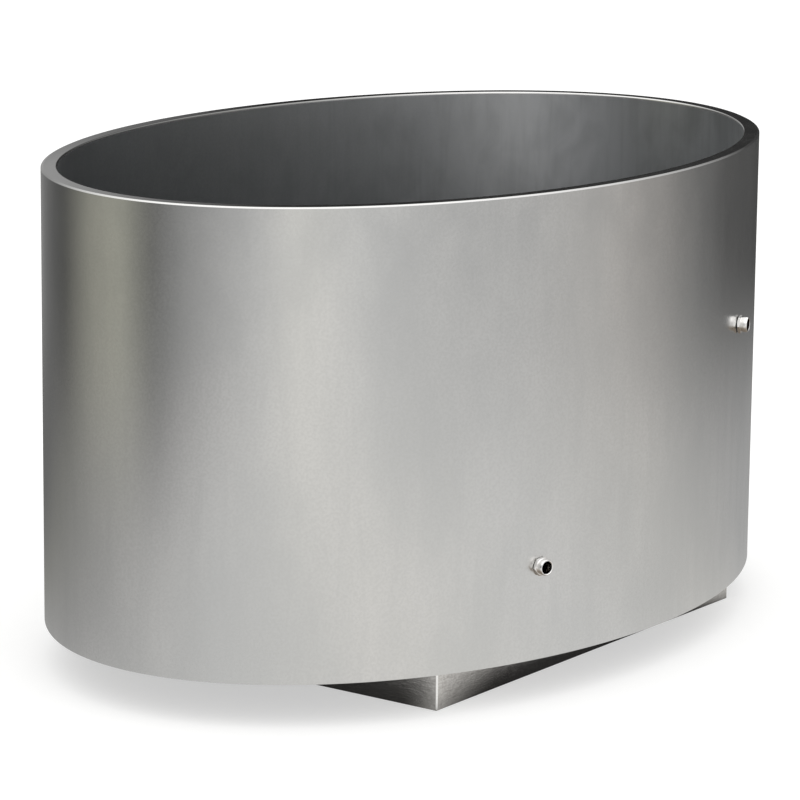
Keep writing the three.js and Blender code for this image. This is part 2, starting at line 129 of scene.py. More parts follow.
PORTS = ("cooling_inlet", "cooling_outlet")
PIPE_RADIUS = 13.35 * MM
PIPE_BORE = 10.45 * MM
NIPPLE_REACH = 17.5 * MM
HEX_FLATS = 28.6 * MM
HEX_TURN = radians(8)
HEX_CHAMFER = radians(30)
SHOULDER_BACK = 0.9 * MM
SHOULDER_FRONT = 6.2 * MM
WASHER_RADIUS = 14.2 * MM
BOSS_RADIUS = 18.5 * MM
DRILL = 13.65 * MM  # hole for a nipple
DRILL_SPAN = (-30 * MM, 12 * MM)  # from inside the jacket to outside the shell

DRAIN_BORE = 19 * MM
DRAIN_TUBE = 24 * MM
DRAIN_MOUTH = 22 * MM
DRAIN_SLEEVE = DRAIN_TUBE + CLEARANCE
GASKET_TO_FLANGE = 5.6 * MM
LOCKNUT_FLATS = 62 * MM
SOCKET_RADIUS = 29 * MM
TAIL_RADIUS = 19 * MM
TAIL_BORE = 17 * MM
TAIL_HEIGHT = 34 * MM
TAIL_BEND = 30 * MM
TAIL_STUB = 5 * MM  # straight stretch above the bend
TAIL_STEPS = 14
TAIL_DRILL_SPAN = (300 * MM, 430 * MM)  # from inside the plinth to behind it
FERRULE_RADIUS = 25.2 * MM
WELD_BEAD = 1.1 * MM
WELD_RIPPLES = 90
STOPPER_RADIUS = 18.4 * MM
STEM_RADIUS = 5 * MM

PANEL_SHEET = 3 * MM
PANEL_FLANGE = 28 * MM
PANEL_STEPS = 12
BEND_RADIUS = 4 * MM
LIP_EDGE = 0.4 * MM  # broken edges of the folded plates
CORNER_RADIUS = 2.6 * MM
CORNER_STEPS = 4
MITRE_GAP = 2 * MM  # kept free of rings just before a mitre
STUD_RADIUS = 7.8 * MM
STUD_DISC_TOP = 12 * MM
STUD_HOLE = STUD_RADIUS + 0.5 * MM

# ---- Camera ----

VIEW_FROM = (-5.5187, -3.9793, 1.8587)
VIEW_TO = (0.0213, 0.0360, 0.3795)
VIEW_ROLL = radians(0.5893)
VIEW_LENS = 180.12  # millimetres
SENSOR_WIDTH = 36
CLIP_START = 0.1
CLIP_END = 200


def add_camera():
    data = bpy.data.cameras.new("camera")
    data.lens = VIEW_LENS
    data.sensor_width = SENSOR_WIDTH
    data.clip_start = CLIP_START
    data.clip_end = CLIP_END
    camera = bpy.data.objects.new("camera", data)
    bpy.context.scene.collection.objects.link(camera)
    aim = (Vector(VIEW_TO) - Vector(VIEW_FROM)).to_track_quat("-Z", "Y")
    roll = Matrix.Rotation(VIEW_ROLL, 4, "Z")
    camera.matrix_world = Matrix.Translation(VIEW_FROM) @ aim.to_matrix().to_4x4() @ roll
    bpy.context.scene.camera = camera


# ---- Surroundings: what the steel reflects ----

# Compass directions (degrees from +X towards +Y) and how bright the room is there. Some have a tint.
ROOM = [
    (-168, 0.56), (-150, 0.75), (-136, 0.95, (1.0, 0.99, 0.96)), (-116, 0.82), (-96, 0.70),
    (-70, 0.62), (-48, 0.62, (1.0, 0.97, 0.94)), (-36, 0.42, (1.0, 0.96, 0.93)), (-22, 0.20),
    (-8, 0.10), (8, 0.09), (28, 0.03), (38, 0.03), (41, 0.36), (46, 0.40), (62, 0.20), (88, 0.08),
    (112, 0.38, (1.0, 0.99, 0.86)), (136, 0.48, (1.0, 1.0, 0.86)), (158, 0.14), (172, 0.36),
]
# The pale ground close to the vat, as the steel sees it.
GROUND = [
    (-168, 0.80), (-130, 0.90, (1.0, 0.99, 0.97)), (-90, 0.82), (-50, 0.72, (1.0, 0.99, 0.97)),
    (-22, 0.49), (5, 0.40), (60, 0.11), (88, 0.16), (110, 0.27, (1.0, 1.0, 0.95)), (150, 0.47),
]
OVERHEAD = 1.5
OVERHEAD_EDGES = (0.22, 0.85)  # sine of the elevation where the overhead light starts and is full
BACKDROP = 1.0
FLOOR_RADIUS = 60
FLOOR_COLOR = (0.55, 0.55, 0.545, 1)
FLOOR_GLOW = 0.52
GLOW_HEIGHT = 0.4 * MM
GROUND_REACH = 2.7
GROUND_FADE = 1.3
SHADE = 0.05  # what is left of the ground's light right under the vat
SHADE_EDGES = (0.84, 1.06)  # where its shade starts and ends, in multiples of the vat's own outline


def link(tree, source, target):
    tree.links.new(source, target)


def add_node(tree, kind, *sources, **settings):
    """A new shader node. The sources feed its first inputs, and a setting is another input's own value."""
    node = tree.nodes.new("ShaderNode" + kind)
    for socket, source in zip(node.inputs, sources):
        link(tree, source, socket)
    for name, value in settings.items():
        node.inputs[name.replace("_", " ")].default_value = value
    return node


def feed(tree, socket, value):
    """Links a socket, or sets it where the value is a plain number or colour."""
    if isinstance(value, (tuple, float, int)):
        socket.default_value = value
    else:
        link(tree, value, socket)


def math_node(tree, operation, *values, clamp=False):
    node = add_node(tree, "Math")
    node.operation = operation
    node.use_clamp = clamp
    for socket, value in zip(node.inputs, values):
        feed(tree, socket, value)
    return node.outputs[0]


def length(tree, vector):
    node = add_node(tree, "VectorMath", vector)
    node.operation = "LENGTH"
    return node.outputs["Value"]


def smooth_range(tree, value, start, end):
    """0 at the start and 1 at the end, smoothly."""
    node = add_node(tree, "MapRange", value, From_Min=start, From_Max=end)
    node.interpolation_type = "SMOOTHSTEP"
    return node.outputs[0]


def mix_color(tree, factor, first, second):
    node = add_node(tree, "Mix")
    node.data_type = "RGBA"
    sockets = {socket.name: socket for socket in node.inputs if socket.enabled}
    feed(tree, sockets["Factor"], factor)
    feed(tree, sockets["A"], first)
    feed(tree, sockets["B"], second)
    return next(socket for socket in node.outputs if socket.enabled)


def stop_color(brightness, tint=(1, 1, 1)):
    return [brightness * t for t in tint]


def seam_color(first, last):
    """The colour of a ring of directions where it closes, half a turn from +X."""
    gap = first[0] + 360 - last[0]
    share = (180 - last[0]) / gap
    pairs = zip(stop_color(*last[1:]), stop_color(*first[1:]))
    return [a * (1 - share) + b * share for a, b in pairs]


def compass_ramp(tree, vector, stops):
    """The colour of a ring of directions round +Z, from rows of degrees, brightness and maybe a tint."""
    parts = add_node(tree, "SeparateXYZ", vector).outputs
    angle = math_node(tree, "ARCTAN2", parts[1], parts[0])
    turn = math_node(tree, "MULTIPLY_ADD", angle, 1 / TAU, 0.5)
    ramp = add_node(tree, "ValToRGB", turn)
    elements = ramp.color_ramp.elements
    ordered = sorted(stops)
    seam = seam_color(ordered[0], ordered[-1])
    for position in (0, 1):
        elements[position].position = position
        elements[position].color = (*seam, 1)
    for degrees, *light in ordered:
        stop = elements.new(degrees / 360 + 0.5)
        stop.color = (*stop_color(*light), 1)
    return ramp.outputs[0]


def add_room():
    """A studio that is bright overhead and patchy round the sides, with a pale backdrop for the camera."""
    world = bpy.data.worlds.new("room")
    bpy.context.scene.world = world
    world.use_nodes = True
    tree = world.node_tree
    tree.nodes.clear()
    where = add_node(tree, "TexCoord").outputs["Generated"]
    sides = compass_ramp(tree, where, ROOM)
    height = add_node(tree, "SeparateXYZ", where).outputs[2]
    lift = smooth_range(tree, height, *OVERHEAD_EDGES)
    room = mix_color(tree, lift, sides, (OVERHEAD, OVERHEAD, OVERHEAD, 1))
    seen = add_node(tree, "LightPath").outputs["Is Camera Ray"]
    color = mix_color(tree, seen, room, (BACKDROP, BACKDROP, BACKDROP, 1))
    background = add_node(tree, "Background", color)
    add_node(tree, "OutputWorld", background.outputs[0])


def new_object(name, bm):
    """An object in the scene, made from a mesh under construction."""
    mesh = bpy.data.meshes.new(name)
    bm.to_mesh(mesh)
    bm.free()
    made = bpy.data.objects.new(name, mesh)
    bpy.context.scene.collection.objects.link(made)
    return made


def stage_disc(name, radius, z, material):
    bm = bmesh.new()
    bmesh.ops.create_circle(bm, cap_ends=True, segments=DISC_STEPS, radius=radius)
    bmesh.ops.translate(bm, verts=bm.verts, vec=(0, 0, z))
    disc = new_object(name, bm)
    disc.data.materials.append(material)
    return disc


def add_floor():
    """A plain pale floor. It lights the vat from below but is left out of its reflections."""
    pale = bpy.data.materials.new("stage_floor")
    pale.use_nodes = True
    settings = {
        "Base Color": FLOOR_COLOR,
        "Emission Color": (1, 1, 1, 1),
        "Emission Strength": FLOOR_GLOW,
        "Roughness": 0.9,
        "Specular IOR Level": 0,
    }
    for name, value in settings.items():
        pale.node_tree.nodes["Principled BSDF"].inputs[name].default_value = value
    floor = stage_disc("stage_floor", FLOOR_RADIUS, 0, pale)
    floor.visible_glossy = False


def glow_material():
    """Light that fades out with the distance from the vat, and is shaded under it."""
    glow = bpy.data.materials.new("stage_glow")
    glow.use_nodes = True
    glow.cycles.emission_sampling = "NONE"
    tree = glow.node_tree
    tree.nodes.clear()
    where = add_node(tree, "TexCoord").outputs["Object"]
    color = compass_ramp(tree, where, GROUND)
    outer, inner = GROUND_REACH + GROUND_FADE, GROUND_REACH - GROUND_FADE
    fade = smooth_range(tree, length(tree, where), outer, inner)
    squash = add_node(tree, "Mapping", where, Scale=(1 / HALF_LENGTH, 1 / HALF_WIDTH, 1))
    open_sky = smooth_range(tree, length(tree, squash.outputs[0]), *SHADE_EDGES)
    brightness = math_node(tree, "MULTIPLY_ADD", open_sky, 1 - SHADE, SHADE)
    emission = add_node(tree, "Emission", color, brightness)
    clear = add_node(tree, "BsdfTransparent")
    blend = add_node(tree, "MixShader", fade, clear.outputs[0], emission.outputs[0])
    add_node(tree, "OutputMaterial", blend.outputs[0])
    return glow


def add_ground_glow():
    """What the pale ground near the vat sends up into the steel. Only reflections see it."""
    ground = stage_disc("stage_glow", GROUND_REACH + GROUND_FADE, GLOW_HEIGHT, glow_material())
    ground.visible_camera = False
    ground.visible_diffuse = False
    ground.visible_shadow = False
    ground.visible_transmission = False


# ---- Finishes ----

# Painted light on the liner's right end: pale round one place, with a brighter painted highlight in it. It
# is rougher there too.
END_CENTRE = (0.80 * HALF_LENGTH, 0.10 * HALF_WIDTH, RIM_TOP - 0.10)
END_REACH = (1.00, 0.80, 0.80)
END_ROUGHNESS = 0.12  # added at its middle
SPOT_CENTRE = (0.86 * HALF_LENGTH, 0.40 * HALF_WIDTH, RIM_TOP - 0.11)
SPOT_REACH = (0.22, 0.24, 0.24)
SMOKE_BOTTOM = 0.45  # the smoky cast on the shell fades out down to this height
RIM_STAIN = (0.30, 0.50)  # how far back the rim's painted shade starts and is full
POLISH_REACH = 0.20  # how far from a plinth corner the plate is painted lighter, as painted light for the bright ground it reflects there
TARNISH = (0.10, -0.45)  # rise of the face's normal where the painted underside shade starts and is full


class Finish:
    """A principled material with helpers for procedural nodes, which follow the object's own space."""

    def __init__(self, name, color, roughness, metallic=1.0, **constants):
        self.material = bpy.data.materials.new(name)
        self.material.use_nodes = True
        self.material.diffuse_color = (*color, 1)
        self.tree = self.material.node_tree
        self.shader = self.tree.nodes["Principled BSDF"]
        self.color = (*color, 1)
        self.rough = roughness
        self.shader.inputs["Metallic"].default_value = metallic
        for socket, value in constants.items():
            self.shader.inputs[socket.replace("_", " ")].default_value = value
        self.where = add_node(self.tree, "TexCoord").outputs["Object"]
        self.heights = None

    def noise(self, size, detail=2.0, stretch=(1, 1, 1), distortion=0.0, seed=0.0):
        """Soft noise from 0 to 1 whose blobs are about one size across, in metres, times the stretch."""
        scale = [1 / (size * s) for s in stretch]
        shift = (seed, -seed, 2 * seed)
        place = add_node(self.tree, "Mapping", self.where, Scale=scale, Location=shift).outputs[0]
        node = add_node(self.tree, "TexNoise", place, Scale=1, Detail=detail, Distortion=distortion)
        return node.outputs["Fac"]

    def near(self, centre, reach):
        """1 at a point, falling smoothly to 0 at the reach along each axis."""
        mapping = add_node(self.tree, "Mapping", self.where, Location=centre, Scale=reach)
        mapping.vector_type = "TEXTURE"
        return smooth_range(self.tree, length(self.tree, mapping.outputs[0]), 1, 0)

    def facing_down(self, start, end):
        """0 on faces whose normal rises at least by the start, 1 where it has dropped to the end."""
        normal = add_node(self.tree, "NewGeometry").outputs["Normal"]
        rise = add_node(self.tree, "SeparateXYZ", normal).outputs[2]
        return smooth_range(self.tree, rise, start, end)

    def level(self, value, start, end):
        return smooth_range(self.tree, value, start, end)

    def part(self, axis):
        """The X, Y or Z of where a point is, in metres."""
        return add_node(self.tree, "SeparateXYZ", self.where).outputs[axis]

    def from_corner(self):
        """The distance along the plinth's faces from its nearest upright corner, in metres."""
        along_x = math_node(self.tree, "ABSOLUTE", self.part(0))
        along_y = math_node(self.tree, "ABSOLUTE", self.part(1))
        span = math_node(self.tree, "ADD", along_x, along_y)
        return math_node(self.tree, "SUBTRACT", PLINTH_X + PLINTH_Y, span)

    def product(self, first, second):
        return math_node(self.tree, "MULTIPLY", first, second)

    def tint(self, factor, color, amount=1.0):
        """Mixes a second colour in, by a factor from 0 to 1."""
        share = self.product(factor, amount)
        self.color = mix_color(self.tree, share, self.color, (*color, 1))

    def roughen(self, factor, amount):
        """Adds to the roughness: amount at factor 1, minus amount at factor 0."""
        swing = math_node(self.tree, "MULTIPLY_ADD", factor, 2 * amount, -amount)
        self.rough = math_node(self.tree, "ADD", swing, self.rough, clamp=True)

    def emboss(self, factor, depth):
        """Adds a height in metres, shown as bump."""
        height = self.product(factor, depth)
        if self.heights is not None:
            height = math_node(self.tree, "ADD", height, self.heights)
        self.heights = height

    def done(self):
        feed(self.tree, self.shader.inputs["Base Color"], self.color)
        feed(self.tree, self.shader.inputs["Roughness"], self.rough)
        if self.heights is not None:
            bump = add_node(self.tree, "Bump", Strength=1, Distance=1)
            link(self.tree, self.heights, bump.inputs["Height"])
            link(self.tree, bump.outputs[0], self.shader.inputs["Normal"])
        return self.material


def shell_finish():
    """Satin stainless sheet: fine mottle, upright hand marks, slow waves and a smoky cast near the rim."""
    f = Finish("satin_stainless", (0.640, 0.635, 0.620), 0.235)
    grain = f.noise(4 * MM, detail=3)
    cloud = f.noise(170 * MM, detail=3, stretch=(1, 1, 2))
    wiped = f.noise(24 * MM, detail=4, stretch=(1, 1, 9), distortion=0.5, seed=3)
    smoke = f.noise(80 * MM, detail=3, stretch=(1, 1, 1.6), seed=8)
    f.tint(f.level(grain, 0.38, 0.62), (0.72, 0.715, 0.70), 0.45)
    f.tint(f.level(cloud, 0.32, 0.70), (0.565, 0.57, 0.56), 0.6)
    f.tint(f.level(wiped, 0.40, 0.75), (0.58, 0.58, 0.57), 0.25)
    upper = f.level(f.part(2), SMOKE_BOTTOM, RIM_TOP)
    f.tint(f.product(upper, f.level(smoke, 0.30, 0.75)), (0.48, 0.485, 0.48), 0.42)
    f.roughen(f.level(cloud, 0.3, 0.7), 0.016)
    f.roughen(f.level(wiped, 0.35, 0.65), 0.008)
    f.roughen(f.level(grain, 0.3, 0.7), 0.010)
    f.emboss(grain, 0.02 * MM)
    f.emboss(f.noise(260 * MM, detail=1, stretch=(1, 1, 1.6), seed=7), 0.5 * MM)
    return f.done()


def rim_finish():
    """The rim's flat top is ground finer than the sheet, and painted darker towards the rear: painted shade
    for the dark room it reflects there.
    """
    f = Finish("ground_rim", (0.68, 0.675, 0.66), 0.12)
    grain = f.noise(3 * MM, detail=3)
    cloud = f.noise(90 * MM, detail=2)
    f.tint(f.level(grain, 0.35, 0.65), (0.68, 0.68, 0.67), 0.35)
    # painted shade: the rim's top is darkened towards the rear
    f.tint(f.level(f.part(1), *RIM_STAIN), (0.22, 0.22, 0.215))
    f.roughen(f.level(cloud, 0.3, 0.7), 0.02)
    f.roughen(f.level(grain, 0.3, 0.7), 0.015)
    f.emboss(grain, 0.008 * MM)
    return f.done()


def liner_finish():
    """Satin stainless inside: darker and cooler and patchy, with painted light on the end wall, a painted
    highlight in it, and more roughness there.
    """
    f = Finish("satin_liner", (0.345, 0.352, 0.357), 0.315)
    grain = f.noise(4 * MM, detail=3)
    cloud = f.noise(90 * MM, detail=4, stretch=(1, 1, 1.3), distortion=0.4, seed=11)
    runs = f.noise(20 * MM, detail=4, stretch=(1, 1, 9), distortion=0.4, seed=5)
    # painted light and a painted highlight on the liner's right end
    end = f.near(END_CENTRE, END_REACH)
    spot = f.near(SPOT_CENTRE, SPOT_REACH)
    f.tint(f.level(grain, 0.35, 0.65), (0.46, 0.468, 0.472), 0.3)
    f.tint(end, (0.82, 0.835, 0.85), 0.70)
    f.tint(spot, (0.97, 0.98, 0.99), 0.75)
    f.tint(f.level(cloud, 0.35, 0.75), (0.30, 0.31, 0.315), 0.45)
    f.tint(f.level(runs, 0.40, 0.75), (0.31, 0.315, 0.32), 0.20)
    f.roughen(f.level(cloud, 0.25, 0.8), 0.015)
    f.roughen(f.level(runs, 0.3, 0.75), 0.008)
    f.rough = math_node(f.tree, "MULTIPLY_ADD", end, END_ROUGHNESS, f.rough)
    f.emboss(grain, 0.02 * MM)
    f.emboss(f.noise(300 * MM, detail=1, seed=2), 0.6 * MM)
    return f.done()


def mill_finish():
    """Pickled mill plate: mottled, with wavy rolling streaks, handling marks and a little heat tint, and
    painted light near its corners.
    """
    f = Finish("pickled_plate", (0.43, 0.415, 0.40), 0.205)
    mottle = f.noise(11 * MM, detail=5, distortion=1.2)
    streak = f.noise(8 * MM, detail=4, stretch=(4, 4, 0.6), distortion=1.8, seed=4)
    # painted light: the plate is lighter near each corner
    f.tint(f.level(f.from_corner(), POLISH_REACH, 0), (0.66, 0.645, 0.62))
    f.tint(f.level(mottle, 0.35, 0.65), (0.40, 0.385, 0.365), 0.4)
    f.tint(f.level(streak, 0.52, 0.70), (0.33, 0.315, 0.295), 0.45)
    f.roughen(f.level(mottle, 0.3, 0.7), 0.04)
    f.roughen(f.level(streak, 0.4, 0.7), 0.02)
    f.emboss(mottle, 0.20 * MM)
    f.emboss(streak, 0.25 * MM)
    return f.done()


def ground_finish():
    """Where the plinth's corner welds were ground flush: bright, with fine cross marks."""
    f = Finish("ground_corner", (0.93, 0.925, 0.91), 0.20)
    marks = f.noise(1.5 * MM, detail=3, stretch=(5, 5, 0.5))
    f.tint(f.level(marks, 0.4, 0.7), (0.80, 0.79, 0.77), 0.5)
    f.roughen(f.level(marks, 0.35, 0.7), 0.04)
    f.emboss(marks, 0.03 * MM)
    return f.done()


def bright_finish():
    """Machined and polished fittings, painted brown and dark where they face down as painted shade for the
    floor they reflect, with light handling marks.
    """
    f = Finish("bright_fitting", (0.94, 0.93, 0.92), 0.07)
    scuff = f.noise(5 * MM, detail=4, distortion=1.0)
    fine = f.noise(0.7 * MM, detail=2)
    # painted shade: faces that point down are darkened brown
    f.tint(f.facing_down(*TARNISH), (0.30, 0.25, 0.20))
    f.tint(f.level(scuff, 0.45, 0.75), (0.62, 0.60, 0.57), 0.15)
    f.roughen(f.level(scuff, 0.35, 0.7), 0.03)
    f.roughen(f.level(fine, 0.3, 0.7), 0.015)
    f.emboss(fine, 0.004 * MM)
    return f.done()


def plain_finish():
    """Unpolished stainless for the parts out of sight: dull, with drawn marks and blotches."""
    f = Finish("plain_stainless", (0.52, 0.515, 0.505), 0.38)
    blotch = f.noise(22 * MM, detail=4, distortion=0.7)
    drawn = f.noise(2.5 * MM, detail=3, stretch=(7, 7, 1), seed=6)
    f.tint(f.level(blotch, 0.4, 0.7), (0.42, 0.41, 0.40), 0.6)
    f.roughen(f.level(blotch, 0.35, 0.7), 0.06)
    f.roughen(f.level(drawn, 0.35, 0.7), 0.04)
    f.emboss(drawn, 0.03 * MM)
    return f.done()


def weld_finish():
    """Brushed-off weld metal with straw and blue heat tint along it."""
    f = Finish("weld_metal", (0.50, 0.48, 0.45), 0.36)
    band = f.noise(6 * MM, detail=3, distortion=0.8)
    f.tint(f.level(band, 0.45, 0.62), (0.50, 0.41, 0.28), 0.5)
    f.tint(f.level(band, 0.62, 0.75), (0.30, 0.33, 0.42), 0.5)
    f.roughen(f.level(band, 0.3, 0.7), 0.08)
    f.emboss(f.noise(1.8 * MM, detail=2), 0.10 * MM)
    return f.done()


def rubber_finish():
    """Black rubber with a moulded grain and pale dust in it."""
    f = Finish("black_rubber", (0.018, 0.018, 0.019), 0.62, metallic=0.0, Specular_IOR_Level=0.45)
    grain = f.noise(0.8 * MM, detail=3)
    dust = f.noise(9 * MM, detail=4, distortion=0.6)
    f.tint(f.level(dust, 0.45, 0.8), (0.060, 0.058, 0.055), 0.7)
    f.roughen(f.level(dust, 0.4, 0.75), 0.12)
    f.emboss(grain, 0.05 * MM)
    return f.done()


def insulation_finish():
    """Mineral wool blanket: tan fibres, matted and uneven."""
    f = Finish("mineral_wool", (0.55, 0.47, 0.30), 0.95, metallic=0.0, Specular_IOR_Level=0.15)
    fibre = f.noise(3 * MM, detail=6, stretch=(3, 3, 0.5), distortion=2.0)
    clump = f.noise(24 * MM, detail=4, distortion=0.8)
    f.tint(f.level(fibre, 0.4, 0.65), (0.70, 0.63, 0.44), 0.7)
    f.tint(f.level(clump, 0.45, 0.7), (0.42, 0.35, 0.21), 0.5)
    f.roughen(f.level(clump, 0.3, 0.7), 0.04)
    f.emboss(fibre, 0.6 * MM)
    f.emboss(clump, 1.5 * MM)
    return f.done()


# Each finish and its slot. A rim, corner or weld finish shares the slot of what it is part of.
FINISHES = {
    "shell": (shell_finish, "brushed_shell"),
    "rim": (rim_finish, "brushed_shell"),
    "liner": (liner_finish, "satin_liner"),
    "mill": (mill_finish, "mill_plinth"),
    "ground": (ground_finish, "mill_plinth"),
    "bright": (bright_finish, "bright_fitting"),
    "plain": (plain_finish, "plain_steel"),
    "weld": (weld_finish, "plain_steel"),
    "rubber": (rubber_finish, "black_rubber"),
    "wool": (insulation_finish, "insulation"),
}

# ---- Mesh helpers ----


def piece(name, bm, look, body="vat", nodes=None, place=None):
    """Closes up a mesh, links it and gives it its finish, its body and the CAD nodes that it stands for."""
    bmesh.ops.remove_doubles(bm, verts=bm.verts, dist=WELD_POINTS)
    bmesh.ops.recalc_face_normals(bm, faces=bm.faces)
    if place is not None:
        bmesh.ops.transform(bm, matrix=place, verts=bm.verts)
    made = new_object(name + "_form", bm)
    made.data.materials.append(looks[look])
    shade(made.data)
    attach(made, body)
    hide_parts(*([name] if nodes is None else nodes))
    return made


def shade(mesh):
    """Smooth shading with crisp edges."""
    mesh.shade_smooth()
    mesh.set_sharp_from_angle(angle=SHARP_ANGLE)


def rings_to_mesh(rings, closed_run=True):
    """Quads between rings of points. Each ring has the same number of points."""
    bm = bmesh.new()
    made = [[bm.verts.new(p) for p in ring] for ring in rings]
    runs = len(made) if closed_run else len(made) - 1
    for i in range(runs):
        here, there = made[i], made[(i + 1) % len(made)]
        for j in range(len(here)):
            k = (j + 1) % len(here)
            bm.faces.new((here[j], here[k], there[k], there[j]))
    if not closed_run:
        bm.faces.new(list(reversed(made[0])))
        bm.faces.new(made[-1])
    return bm


def fillet(outline, radius=0.0, steps=FILLET_STEPS):
    """A closed outline with its corners rounded. A point may carry its own radius as a third number."""
    rounded = []
    count = len(outline)
    for i, point in enumerate(outline):
        here = Vector(point[:2])
        size = point[2] if len(point) > 2 else radius
        before = Vector(outline[i - 1][:2]) - here
        after = Vector(outline[(i + 1) % count][:2]) - here
        back, ahead = before.normalized(), after.normalized()
        bend = pi - before.angle(after, 0)
        if size <= 0 or bend < STRAIGHT:
            rounded.append(here)
            continue
        longest = SIDE_SHARE * min(before.length, after.length)
        reach = min(size * tan(bend / 2), longest)
        size = reach / tan(bend / 2)
        start = here + back * reach
        middle = (back + ahead).normalized()
        centre = here + middle * size / cos(bend / 2)
        spoke = start - centre
        side = 1 if before.x * after.y - before.y * after.x < 0 else -1
        finish = here + ahead * reach
        margin = SUPPORT * reach
        if before.length > 3 * reach:
            rounded.append(start + back * margin)
        for k in range(steps + 1):
            turn = Matrix.Rotation(side * bend * k / steps, 2)
            rounded.append(centre + turn @ spoke)
        if after.length > 3 * reach:
            rounded.append(finish + ahead * margin)
    return rounded


def ramp(start, end, count):
    """Evenly spaced points from start to end, both included."""
    a, b = Vector(start), Vector(end)
    return [tuple(a.lerp(b, i / count)) for i in range(count + 1)]


def turns(count):
    """Evenly spaced angles round a full turn, from 0."""
    return [TAU * i / count for i in range(count)]


def quarter(count):
    """Evenly spaced angles from 0 to a right angle, both included."""
    return [pi / 2 * i / count for i in range(count + 1)]


def oval(section):
    """A closed section of (half length, half width, height) swept round the vat's ellipse."""
    rings = [[(a * cos(t), b * sin(t), z) for a, b, z in section] for t in turns(OVAL_STEPS)]
    return rings_to_mesh(rings)


def inset(distance, z):
    """A section point at a distance in from the shell's outer face."""
    return (HALF_LENGTH - distance, HALF_WIDTH - distance, z)


def circle(radius, z):
    """A section point where the sweep is round."""
    return (radius, radius, z)


def band(outer, inner, bottom, top, foot=0.0, rows=WALL_ROWS):
    """An upright oval band between two insets. Its lower edges may be broken by a small radius."""
    corners = [(outer, bottom, foot), (outer, top), (inner, top), (inner, bottom, foot)]
    corners = fillet(corners, steps=2)
    outline = []
    for i, point in enumerate(corners):
        after = corners[(i + 1) % len(corners)]
        tall = abs(after.y - point.y) > (top - bottom) / 2
        outline += ramp(point, after, rows if tall else 1)[:-1]
    return oval([inset(d, z) for d, z in outline])


def around(outline_at, steps=ROUND_STEPS):
    """A solid round +Z whose closed outline of (radius, height) points may change with the angle."""
    rings = [[(r * cos(t), r * sin(t), z) for r, z in outline_at(t)] for t in turns(steps)]
    bm = rings_to_mesh(rings)
    bmesh.ops.remove_doubles(bm, verts=bm.verts, dist=WELD_AXIS)
    return bm


def lathe(outline):
    """A solid turned about +Z."""
    return around(lambda _: outline)


def tube(outer, inner, bottom, top, edge):
    """A straight tube with its four edges broken by a small radius."""
    return lathe(fillet([(inner, bottom), (outer, bottom), (outer, top), (inner, top)], edge, 3))


def bar(radius, bottom, top):
    """A plain round bar."""
    return lathe([(0, bottom), (radius, bottom), (radius, top), (0, top)])


def extrude(outline, bottom, top):
    """A flat plate cut to a plan outline."""
    bm = bmesh.new()
    lower = [bm.verts.new((x, y, bottom)) for x, y in outline]
    upper = [bm.verts.new((x, y, top)) for x, y in outline]
    count = len(outline)
    bm.faces.new(list(reversed(lower)))
    bm.faces.new(upper)
    for i in range(count):
        j = (i + 1) % count
        bm.faces.new((lower[i], lower[j], upper[j], upper[i]))
    return bm


def cut(made, *cutters):
    """Cuts closed meshes out of a piece."""
    for bm in cutters:
        bmesh.ops.recalc_face_normals(bm, faces=bm.faces)
        tool = new_object("cutter", bm)
        step = made.modifiers.new("cut", "BOOLEAN")
        step.operation = "DIFFERENCE"
        step.solver = "EXACT"
        step.object = tool
        bpy.context.view_layer.update()
        graph = bpy.context.evaluated_depsgraph_get()
        result = bpy.data.meshes.new_from_object(made.evaluated_get(graph))
        made.modifiers.remove(step)
        made.data = result
        result.name = made.name
        bpy.data.objects.remove(tool)
        shade(result)


def hexagon(flats, turn=0.0):
    """The radius of a hexagon at an angle, with a corner at the given turn."""

    def radius(angle):
        part = (angle - turn) % (pi / 3) - pi / 6
        return flats / 2 / cos(part)

    return radius


def hex_rows(reach, crown, bottom, top):
    """The outline of a hexagon's side at one angle, with its corners chamfered at both ends."""
    drop = (reach - crown) * tan(HEX_CHAMFER)
    return [(crown, bottom), (reach, bottom + drop), (reach, top - drop), (crown, top)]


def hex_nut(flats, bottom, top, bore):
    """A hexagonal nut with chamfered corners and a broken edge round its bore."""
    reach = hexagon(flats)
    crown = 0.97 * flats / 2
    edge = 0.6 * MM

    def outline_at(angle):
        side = hex_rows(reach(angle), crown, bottom, top)
        start = [(bore, bottom + edge), (bore + edge, bottom)]
        return start + side + [(bore + edge, top), (bore, top - edge)]

    return around(outline_at, HEX_STEPS)


def thread_rows(radius, depth, pitch, start, end, angle):
    """The outline of a screw thread at one angle, fading in and out at its ends."""
    count = ceil((end - start) / pitch * THREAD_ROWS)
    rows = []
    for i in range(count + 1):
        z = start + (end - start) * i / count
        wave = 0.5 + 0.5 * cos(TAU * (z / pitch - angle / TAU))
        fade = min(1, (z - start) / pitch, (end - z) / pitch)
        rows.append((radius - depth * fade * wave, z))
    return rows


def sweep_tube(path, outer, inner):
    """A tube along points in the YZ plane."""
    bm = bmesh.new()
    skins = []
    side = Vector((1, 0, 0))
    for radius in (outer, inner):
        skin = []
        for i, point in enumerate(path):
            ahead = Vector(path[min(i + 1, len(path) - 1)]) - Vector(path[max(i - 1, 0)])
            up = ahead.normalized().cross(side)
            spokes = [side * cos(t) + up * sin(t) for t in turns(ROUND_STEPS)]
            skin.append([bm.verts.new(Vector(point) + radius * spoke) for spoke in spokes])
        skins.append(skin)
    out, inn = skins
    strips = [pair for skin in skins for pair in zip(skin, skin[1:])]
    strips += [(out[0], inn[0]), (out[-1], inn[-1])]
    for here, there in strips:
        for j in range(ROUND_STEPS):
            k = (j + 1) % ROUND_STEPS
            bm.faces.new((here[j], here[k], there[k], there[j]))
    return bm


